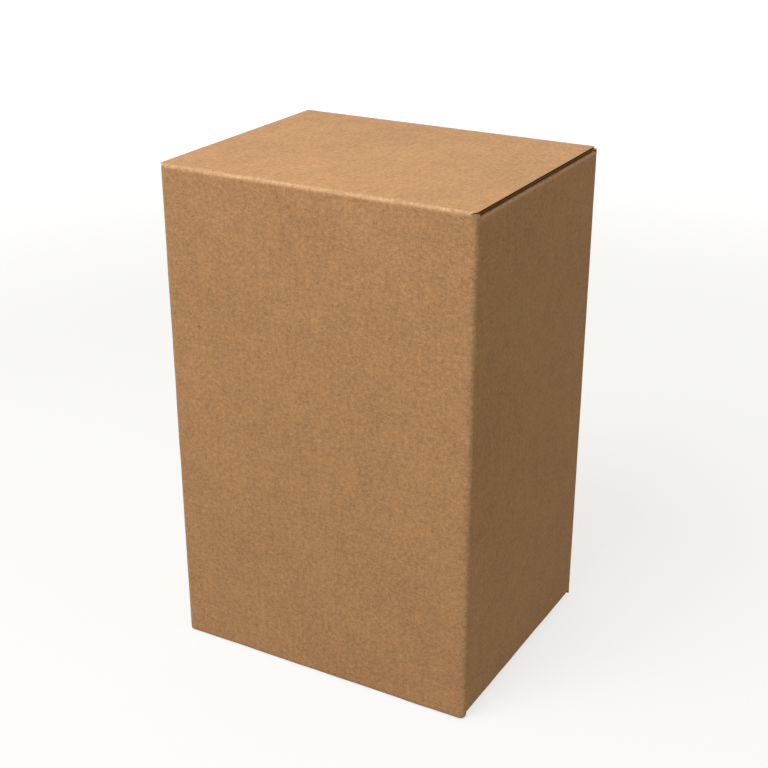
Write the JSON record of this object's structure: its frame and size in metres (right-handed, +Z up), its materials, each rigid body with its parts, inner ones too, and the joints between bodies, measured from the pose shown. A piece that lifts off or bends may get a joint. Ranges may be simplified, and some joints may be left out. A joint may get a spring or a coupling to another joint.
{
  "type": "closed cardboard box",
  "caption": "Closed upright carton of plain brown corrugated board, with a tuck-in lid hinged on the front wall at the top and at the bottom.",
  "frame": {"origin": "middle of the outside of the bottom lid, on the surface that the carton stands on", "axes": "+Z up, along the carton's height; +X across the front wall, to the right as seen from the front; +Y from the front wall, where both lids are hinged, to the back wall"},
  "size_m": [0.131, 0.107, 0.203],
  "materials": {
    "kraft_board": "matt uncoated kraft liner"
  },
  "bodies": {
    "carton": {"carton": "kraft_board"},
    "top_lid": {"top_lid": "kraft_board"},
    "bottom_lid": {"bottom_lid": "kraft_board"}
  },
  "joints": [
    {"name": "top_lid_hinge", "type": "hinge", "parent": "carton", "child": "top_lid", "pos_m": [0, -0.05297, 0.20247], "axis": [1, 0, 0], "range_deg": [0, 175]},
    {"name": "bottom_lid_hinge", "type": "hinge", "parent": "carton", "child": "bottom_lid", "pos_m": [0, -0.05297, 0.00053], "axis": [-1, 0, 0], "range_deg": [0, 175]}
  ]
}
